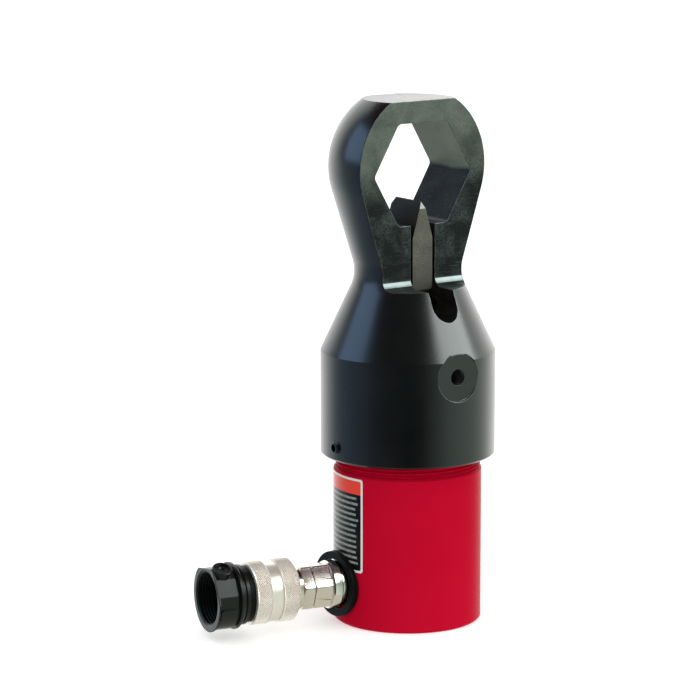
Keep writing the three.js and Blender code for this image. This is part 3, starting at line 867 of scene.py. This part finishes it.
def cylinder_barrel():
    b = BARREL
    edge = 1.2
    thread_low, thread_high = b.shoulder + 0.35, b.height - 1.2
    rows_per_turn = 14
    count = round((thread_high - thread_low) / b.pitch * rows_per_turn)
    below = [
        (0, 0), (b.radius - edge, 0), (b.radius, edge), (b.radius, b.shoulder - edge),
        (b.radius - edge, b.shoulder), (b.minor, b.shoulder), (b.minor, b.shoulder + 0.3),
    ]
    thread = [(b.major, z) for z in np.linspace(thread_low, thread_high, count)]
    above = [
        (b.minor, b.height - 0.8), (b.minor - 0.8, b.height), (b.mouth, b.height),
        (b.mouth, b.mouth_floor), (b.bore, b.mouth_floor), (b.bore, b.floor), (0, b.floor),
    ]
    outline = [*softened(below, 0.8, steps=5), *thread, *softened(above, 0.4)]
    depth = b.major - b.minor
    relief = vee_thread(b.major, depth, b.pitch, thread_low, thread_high)
    barrel = lathe(outline, RED, 192, relief=relief)
    port_rows = [(0, 20), (5, 20), (5, 33), (8.8, 33), *ridges(34, 46, 1.4, 9.1, 8.6), (0, 48)]
    port = lathe(port_rows, STEEL, 48)
    port.data.transform(COUPLER)
    cut(barrel, port, bar(4.3, 5, b.floor + 5, STEEL, 32))
    fit(barrel, "cylinder_barrel", sharp=30)


def data_label():
    inner = BARREL.radius + LABEL_GAP
    begin = -pi / 2 - LABEL_FROM - LABEL_SWEEP
    span, heights = (begin, begin + LABEL_SWEEP), (LABEL_LOW.z, LABEL_HIGH.z)
    label = curved_patch(inner, inner + LABEL_THICKNESS, span, heights, 1.6, 120, FILM)
    fit(label, "data_label")


# ---- Ram and its seals ----


def ram_parts():
    """The hollow plunger, its seals and guides, and the ring that keeps it in the barrel."""
    rings = (
        ("plunger", 0.6, STEEL, "plain_steel", [
            (12.5, 112), (17.5, 112), (17.5, 34), (32.3, 34), (32.3, 40), (27.4, 40), (27.4, 49.4),
            (32.3, 49.4), (32.3, 76), (29.9, 76), (29.9, 86), (32.3, 86), (32.3, 92.6),
            (28.5, 92.6), (28.5, 139.9), (12.5, 139.9),
        ]),
        ("stop_ring", 0.3, STEEL, "plain_steel", [
            (28.8, 118.3), (35.9, 118.3), (35.9, 139.2), (31.6, 139.2), (31.6, 133), (28.8, 133),
            (28.8, 129.6), (31.2, 129.6), (31.2, 120.4), (28.8, 120.4),
        ]),
        ("piston_seal", 0.3, POLYMER, "seal_polymer", [
            (27.6, 40.3), (29.2, 40.3), (29.9, 43.2), (30.6, 40.3), (32.43, 40.3), (32.13, 46.6),
            (27.6, 46.6),
        ]),
        ("rod_wiper", 0.15, POLYMER, "seal_polymer", [
            (29.2, 133.2), (31.3, 133.2), (31.3, 138), (30.2, 138), (28.65, 138.9), (28.65, 138),
            (29.2, 136),
        ]),
    )
    for node, soft, material, slot, outline in rings:
        fit(turned(outline, soft, material, 128, closed=True), node)
    guides = (
        ("piston_backup_ring", 27.7, 32.4, 46.9, 49.1),
        ("piston_wear_ring", 30.2, 32.45, 76.3, 85.7),
        ("rod_bearing", 28.65, 30.9, 120.7, 129.3),
    )
    for node, inner, outer, low, high in guides:
        fit(tube(inner, outer, low, high, BRONZE, 128), node)


def spring_parts():
    bolt = bar(4, 6, 17, STEEL, 48, 0.5)
    head = prism(polygon(6, 13), 14.3, 19.3, "xyz", STEEL)
    join(bolt, head, bar(7.9, 18.5, 34, STEEL, soft=0.8))
    broken_edges(bolt, 0.3)
    fit(bolt, "spring_anchor_bolt")
    plug = [(0, 96), (7.9, 96), (7.9, 105.3), (17.2, 105.3), (17.2, 111.7), (0, 111.7)]
    fit(turned(plug, 0.6, STEEL), "spring_top_plug")
    spring = coil(10.4, 2, 24, 103, 11, STEEL, 36, 12)
    stretching(spring, "return_spring", (0, 0, 0.034), (0, 0, 0.096), "ram")


def stretching(obj, node, start, end, body):
    """A spring, shaded smooth and left fixed where it is made, in place of its CAD node."""
    obj.data.shade_smooth()
    obj.name = "fine_" + node
    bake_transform(obj)
    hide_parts(node)


# ---- Coupler ----

HEX_FLATS = 24.6
HEX_TURN = radians(8.7)
HEX_TURNED = 13.75


def hex_bar(low, high, chamfer):
    """A hexagonal bar with its corners turned down, chamfered ends and faintly crowned flats."""
    half, bulge = pi / 6, 160
    outline = []
    for i in range(6):
        middle = HEX_TURN + half * (2 * i + 1)
        inset = HEX_FLATS / 2 - bulge
        span = asin(HEX_FLATS / 2 * tan(half) / bulge)
        centre = (inset * cos(middle), inset * sin(middle))
        outline += arc(*centre, bulge, middle - span, middle + span, 8)[:-1]
    blank = prism(outline, low, high, "xyz", NICKEL)
    limits = [
        (0, low - 0.01), (HEX_TURNED - chamfer * 1.7, low - 0.01), (HEX_TURNED, low + chamfer),
        (HEX_TURNED, high - chamfer), (HEX_TURNED - chamfer * 1.7, high + 0.01), (0, high + 0.01),
    ]
    return combine(blank, "INTERSECT", lathe(limits, NICKEL))


def coupler_adapter():
    collar = [
        (0, 43.45), (13.3, 43.45), (13.3, 46.9), (13.9, 47.4), (13.75, 49.6), (13.9, 51.8), (13.5, 52.7),
        (12.4, 52.9), (12.4, 53.4), (0, 53.4),
    ]
    collar = turned(collar, 0.35, NICKEL)
    stub = [(0, 33.8), *ridges(34, 43.2, 1.4, 8.45, 7.9), (8.2, 44.4), (0, 44.4)]
    bores = [(0, 30), (4, 30), (4, 56), (9.8, 56), (9.8, 70), (0, 70)]
    adapter = hex_bar(53, 63.75, 0.5)
    join(adapter, collar, lathe(stub, SEALED_THREAD, 64))
    cut(adapter, lathe(bores, NICKEL, 64))
    broken_edges(adapter, 0.12, 25)
    fit(adapter, "coupler_adapter", coupler=True)


def coupler_body():
    barrel = [
        (0, 70.0), (12.2, 70.0), (12.2, 73.4), (13.5, 73.4), (13.5, 77.2), (12.6, 77.2),
        (12.6, 79.2), (13.5, 79.2), (13.5, 92), (13.1, 92.4), (13.1, 98.4), (12.5, 99), (0, 99),
    ]
    bores = [
        (0, 50), (6.2, 50), (6.2, 88), (4.4, 92), (4.4, 93.4), (7.6, 93.4), (7.6, 101), (0, 101),
    ]
    body = hex_bar(64.15, 70.8, 0.45)
    join(body, turned(barrel, 0.2, NICKEL), tube(5, 9.4, 57, 65, NICKEL))
    cut(body, lathe(bores, NICKEL, 64))
    broken_edges(body, 0.12, 25)
    fit(body, "coupler_body", coupler=True)


KNURL_PITCH = 1.27


def coupler_sleeve():
    """The free-turning sleeve, with two knurled bands and a plain band between them."""
    s = SLEEVE
    sides = 2 * round(TURN * s.radius / KNURL_PITCH)
    crest, band = s.radius, s.radius - 0.35
    step = KNURL_PITCH / 2
    rear_bevel = [(15.55, 74.35), (16.4, 74.95), (17.25, 75.55), (18.05, 76.1)]
    first = [(crest, z) for z in np.arange(76.6, 85.4, step)]
    second = [(crest, z) for z in np.arange(93.0, s.front - 0.5, step)]
    plain = [
        (crest, 85.35), (crest, 85.5), (band - 0.6, 85.7), (band - 0.6, 86.3), (band, 86.5),
        (band, 92.4), (crest, 92.7), (crest, 92.85),
    ]
    rest = [
        (crest - 0.1, s.front - 0.3), (crest - 0.5, s.front), (s.mouth, s.front), (s.mouth, 92.6),
        (s.inner, 92.6), (s.inner, 79.2), (s.inner + 0.8, 79.2), (s.inner + 0.8, 77.2),
        (s.inner, 77.2), (s.inner, s.rear), (15.4, s.rear),
    ]
    plain, rest = softened(plain, 0.1), softened(rest, 0.15)
    lower = [*rear_bevel, *first]
    begin = len(lower) + len(plain)
    knurled = {*range(len(lower)), *range(begin, begin + len(second))}
    outline = [*lower, *plain, *second, *rest]
    sleeve = lathe(outline, KNURLED, sides, closed=True, knurl=(0.36, knurled))
    sleeve.data.materials.append(SATIN)
    for face in sleeve.data.polygons:
        if len(face.vertices) == 4:
            face.material_index = 1
    fit(sleeve, "coupler_sleeve", coupler=True, sharp=24)


def tether_ring():
    """A loose grooved ring that hangs on the adapter's collar and leans against the barrel."""
    t = TETHER_RING
    radius, back = t.radius, -t.thickness
    outline = [
        (t.hole, back), (radius, back), (radius, -2.7), (radius - 0.8, -2.2),
        (radius - 0.8, -1.5), (radius, -1.0), (radius - 0.2, 0), (t.hole, 0),
    ]
    ring = turned(outline, 0.4, RUBBER, 128, closed=True)
    place = Matrix.Translation(Vector((0, -t.drop, t.front)) * MM)
    ring.data.transform(place @ Matrix.Rotation(TETHER_LEAN, 4, "Y"))
    clear_of_label = BARREL.radius + LABEL_GAP + LABEL_THICKNESS + 0.3
    saddle = bar(clear_of_label, -20, 100, RUBBER, 256, soft=0)
    saddle.data.transform(COUPLER.inverted())
    cut(ring, saddle)
    broken_edges(ring, 0.15, 30)
    fit(ring, "tether_ring", coupler=True)


def coupler_insides():
    """Seals, spring and valve inside the coupler."""
    rings = (
        ("sleeve_retaining_ring", 13.7, 0.65, 78.2, STEEL, "plain_steel"),
        ("coupler_face_seal", 6.7, 0.75, 97.6, RUBBER, "black_rubber"),
        ("poppet_seal", 4.76, 0.3, 90.4, RUBBER, "black_rubber"),
    )
    for node, major, minor, height, material, slot in rings:
        section = arc(major, height, minor, 0, TURN, 16)[:-1]
        fit(lathe(section, material, closed=True), node, coupler=True)
    tubes = (
        ("coupler_joint_ring", 5.2, 9.5, 56.3, 56.7, 0.1, BRONZE, "bronze"),
        ("cap_gasket", 15.4, 16.2, 102.3, 105.4, 0.3, RUBBER, "black_rubber"),
    )
    for node, inner, outer, low, high, soft, material, slot in tubes:
        ring = tube(inner, outer, low, high, material, soft=soft)
        fit(ring, node, coupler=True)
    poppet = [
        (0, 64.6), (1.9, 64.6), (1.9, 82.4), (5.7, 82.4), (5.7, 87.4), (3.9, 91.6), (3.9, 94.6),
        (0, 95.2),
    ]
    poppet = turned(poppet, 0.25, STEEL, 64)
    fit(poppet, "valve_poppet", coupler=True)
    guide = tube(2.2, 5.9, 66.2, 68.4, STEEL, 64)
    for x, y in arc(0, 0, 4, 0, TURN, 3)[:-1]:
        cut(guide, pointed(bar(1.1, 60, 75, STEEL, 32), (0, 0, 1), (x, y, 0)))
    fit(guide, "poppet_guide", coupler=True)
    spring = coil(3.9, 0.5, 69.0, 81.8, 5, STEEL)
    spring.matrix_world = COUPLER
    ends = [COUPLER @ Vector((0, 0, s * MM)) for s in (68.6, 82.3)]
    stretching(spring, "poppet_spring", *ends, "valve")


def dust_cap():
    """The cap: a spigot in the sleeve, two flanges, and a hollow, threaded mouth with grips."""
    c = CAP
    inside, waist = 15.5, c.body - 0.7
    body = [
        (0, 106), (12.8, 106), (13.7, 105.2), (13.7, 94), (c.spigot, 94), (c.spigot, 105.7),
        (c.foot, 105.7), (c.foot, 108), (16.6, 108.2), (16.6, 110.1), (c.flange - 0.3, 110.3),
        (c.flange, 110.7), (c.flange, 112.2), (c.flange - 0.3, 112.4), (waist, 112.5),
        (waist, 113.5), (c.body, 113.7), (c.body, 125), (c.rim - 0.4, 125.3),
        (c.rim, 125.6), (c.rim, c.mouth), (16.3, c.mouth), (inside, c.mouth - 0.8),
    ]
    thread_low, thread_high = 116.2, c.mouth - 0.9
    thread = [(inside, z) for z in np.linspace(thread_high, thread_low, 60)]
    floor = [(inside, 115.6), (inside, 114.5), (14.9, 114), (0, 114)]
    outline = [*softened(body, 0.3), *thread, *softened(floor, 0.4)]
    relief = vee_thread(inside, 0.7, COUPLER_PITCH, thread_low, thread_high)
    cap = lathe(outline, PLASTIC, 144, relief=relief)
    # The faces inside the mouth take the weakly reflecting plastic: painted shade.
    cap.data.materials.append(SHADED_PLASTIC)
    for facet in cap.data.polygons:
        if facet.center.z > 113.9 * MM and facet.center.xy.length < (inside + 0.05) * MM:
            facet.material_index = 1
    pads, flats = [], []
    # The grips lie the same way on both sides of the boss.
    for side in (-1, 1):
        span = sorted(BOSS.turn + side * radians(a) for a in (76, 138))
        pads.append(curved_patch(17.0, 18.6, span, (114.2, 124.4), 1.2, 28, PLASTIC))
        middle = BOSS.turn + side * radians(35)
        reach = c.body * cos(radians(17))
        block = [(reach, -14), (reach, 14), (reach + 6, 14), (reach + 6, -14)]
        flat = prism(block, 113.6, c.mouth + 2, "xyz", PLASTIC)
        flat.data.transform(Matrix.Rotation(middle, 4, "Z"))
        flats.append(flat)
    cut(cap, *flats)
    join(cap, *pads)
    radius, top = BOSS.radius, BOSS.top
    boss = [
        (0, 15.0), (radius, 15.0), (radius, top - 0.2), (radius - 0.3, top), (radius - 0.9, top),
        (radius - 1.2, top - 0.9), (2.4, top - 0.9), (1.9, top - 1.4), (0, top - 1.4),
    ]
    boss = turned(boss, 0.2, PLASTIC, 64)
    pointed(boss, (cos(BOSS.turn), sin(BOSS.turn), 0), (0, 0, BOSS.along))
    join(cap, boss)
    broken_edges(cap, 0.2)
    fit(cap, "dust_cap", coupler=True)


cutter_head()
set_screws()
chisel_blade()
blade_holder()
cylinder_barrel()
data_label()
ram_parts()
spring_parts()
coupler_adapter()
coupler_body()
coupler_sleeve()
tether_ring()
coupler_insides()
dust_cap()

# ---- Floor, camera and light ----

# The camera as solved from the photo, in degrees and metres; the lens is in millimetres.
SENSOR_WIDTH = 36
CAMERA = Sizes(azimuth=-34.765, elevation=10.641, distance=1.89888, lens=169.589)
TARGET = Vector((-0.02737, 0.018996, 0.15737))


def direction(azimuth, elevation):
    """Azimuth 0 points along -Y, as the head's front face does, and 90 along +X; degrees."""
    a, e = radians(azimuth), radians(elevation)
    return Vector((sin(a) * cos(e), -cos(a) * cos(e), sin(e)))


def aimed(obj, place, target):
    obj.location = place
    obj.rotation_euler = (target - place).to_track_quat("-Z", "Y").to_euler()


def camera():
    data = bpy.data.cameras.new("camera")
    data.lens = CAMERA.lens
    data.sensor_width = SENSOR_WIDTH
    data.clip_end = 100
    obj = linked("camera", data)
    aimed(obj, TARGET + direction(CAMERA.azimuth, CAMERA.elevation) * CAMERA.distance, TARGET)
    bpy.context.scene.camera = obj


def softbox(name, azimuth, elevation, distance, width, height, radiance, colour):
    """A rectangular light that shows in polished pieces. Its azimuth is counted from the
    camera's, to the right."""
    data = bpy.data.lights.new(name, "AREA")
    data.shape = "RECTANGLE"
    data.size, data.size_y = width, height
    data.energy = radiance * pi * width * height
    data.color = colour
    obj = linked(name, data)
    aim = Vector((0, 0, 0.17))
    aimed(obj, aim + direction(CAMERA.azimuth + azimuth, elevation) * distance, aim)
    obj.visible_camera = False
    obj.visible_diffuse = False


# What polished pieces see in the room: azimuth from the camera's, to the right, and brightness.
# Walls and screens are pale, and the side where the camera stands is dark.
ROOM_LOW = (
    (-180, 1.5, 1.5, 1.5), (-140, 1.6, 1.6, 1.6), (-122, 0.95, 1.1, 1.1), (-108, 0.42, 0.55, 0.6),
    (-85, 0.25, 0.37, 0.54), (-60, 0.2, 0.26, 0.32), (-40, 0.1, 0.11, 0.12), (0, 0.04, 0.05, 0.05),
    (18, 0.06, 0.07, 0.06), (38, 0.32, 0.38, 0.34), (57, 0.6, 0.75, 0.66), (100, 0.85, 1.0, 0.88),
    (121, 1.35, 1.4, 1.3), (137, 1.9, 1.95, 1.85), (180, 1.5, 1.5, 1.5),
)
ROOM_HIGH = (
    (-180, 1.7, 1.7, 1.7), (-150, 1.75, 1.75, 1.75), (-134, 1.4, 1.45, 1.45), (-122, 0.62, 0.68, 0.72),
    (-113, 0.16, 0.18, 0.22), (-60, 0.2, 0.24, 0.3), (-50, 0.07, 0.07, 0.07), (25, 0.06, 0.07, 0.06),
    (40, 0.22, 0.26, 0.24), (100, 1.05, 1.1, 1.05), (115, 1.45, 1.5, 1.45), (130, 1.95, 1.95, 1.9),
    (145, 2.2, 2.2, 2.2), (160, 2.0, 2.0, 2.0), (180, 1.7, 1.7, 1.7),
)
ROOM_SCALE = 3
CEILING = (0.085, 0.03, 0.035)
TABLE = (0.56, 0.55, 0.48)
AMBIENT = Sizes(strength=0.82, lean=0.6, azimuth=45, elevation=25)


def studio_world():
    """Even soft light, a little stronger from the right, a room for the reflections and a white
    backdrop."""
    world = bpy.data.worlds.new("studio")
    nodes = Nodes(world)
    step = nodes.math

    def smooth(value, low, high):
        return nodes.spread(value, 0, 1, (low, high), interpolation_type="SMOOTHSTEP")

    def room(stops):
        ramp = nodes.node("ValToRGB", {0: round_about})
        elements = ramp.color_ramp.elements
        elements.remove(elements[1])
        for i, (azimuth, *colour) in enumerate(stops):
            place = (azimuth + 180) / 360
            element = elements[0] if i == 0 else elements.new(place)
            element.position = place
            element.color = opaque(scaled(colour))
        return ramp.outputs["Color"]

    def scaled(colour):
        return tuple(c / ROOM_SCALE for c in colour)

    def background(colour, strength):
        return nodes.node("Background", {0: colour, 1: strength}).outputs[0]

    place = nodes.node("TexCoord").outputs["Generated"]
    axes = nodes.axes(place)
    angle = step("ARCTAN2", axes[0], step("MULTIPLY", axes[1], -1.0))
    from_camera = step("SUBTRACT", angle, radians(CAMERA.azimuth))
    round_about = step("FRACT", step("ADD", step("DIVIDE", from_camera, TURN), 1.5))
    colour = nodes.blend(smooth(axes[2], -0.10, 0.14), room(ROOM_LOW), room(ROOM_HIGH))
    below = step("MULTIPLY", axes[2], -1.0)
    colour = nodes.blend(smooth(below, 0.55, 0.7), colour, scaled(TABLE))
    colour = nodes.blend(smooth(axes[2], 0.72, 0.76), colour, scaled(CEILING))
    key = direction(CAMERA.azimuth + AMBIENT.azimuth, AMBIENT.elevation)
    toward = nodes.node("VectorMath", {0: place, 1: key}, operation="DOT_PRODUCT")
    lean = step("MULTIPLY", toward.outputs["Value"], AMBIENT.lean * AMBIENT.strength)
    choice = background((1.0, 1.0, 0.985, 1), step("ADD", lean, AMBIENT.strength))
    rays = nodes.node("LightPath").outputs
    seen, backdrop = background(colour, ROOM_SCALE), background((1.0, 1.0, 1.0, 1), 1.0)
    for ray, other in (("Is Glossy Ray", seen), ("Is Camera Ray", backdrop)):
        inputs = {0: rays[ray], 1: choice, 2: other}
        choice = nodes.node("MixShader", inputs).outputs[0]
    nodes.node("OutputWorld", {"Surface": choice})
    world.cycles.sampling_method = "NONE"
    bpy.context.scene.world = world


def floor():
    """A plain pale floor that glows a little, as a light table does."""
    finish = Finish("pale floor")
    dust = finish.noise(3, 2)
    colour = finish.blend(finish.spread(dust), (0.86, 0.86, 0.86), (0.88, 0.88, 0.88))
    finish.set(base_color=colour, roughness=finish.spread(dust, 0.8, 0.9))
    finish.set(emission_color=(1.0, 1.0, 1.0, 1.0), emission_strength=0.45)
    size = 14000
    square = [(-size, -size), (size, -size), (size, size), (-size, size)]
    obj = prism(square, -20, -0.2, "xyz", finish.material)
    obj.name = "floor"
    obj.visible_glossy = False
    obj.visible_diffuse = False


camera()
studio_world()
floor()
softbox("left softbox", -87, 25, 1.3, 0.86, 0.8, 2.1, (0.39, 0.63, 1.0))
softbox("right softbox", 75, 30, 1.3, 1.2, 0.9, 5.7, (0.93, 1.0, 0.985))
bpy.context.scene.view_settings.view_transform = "Standard"
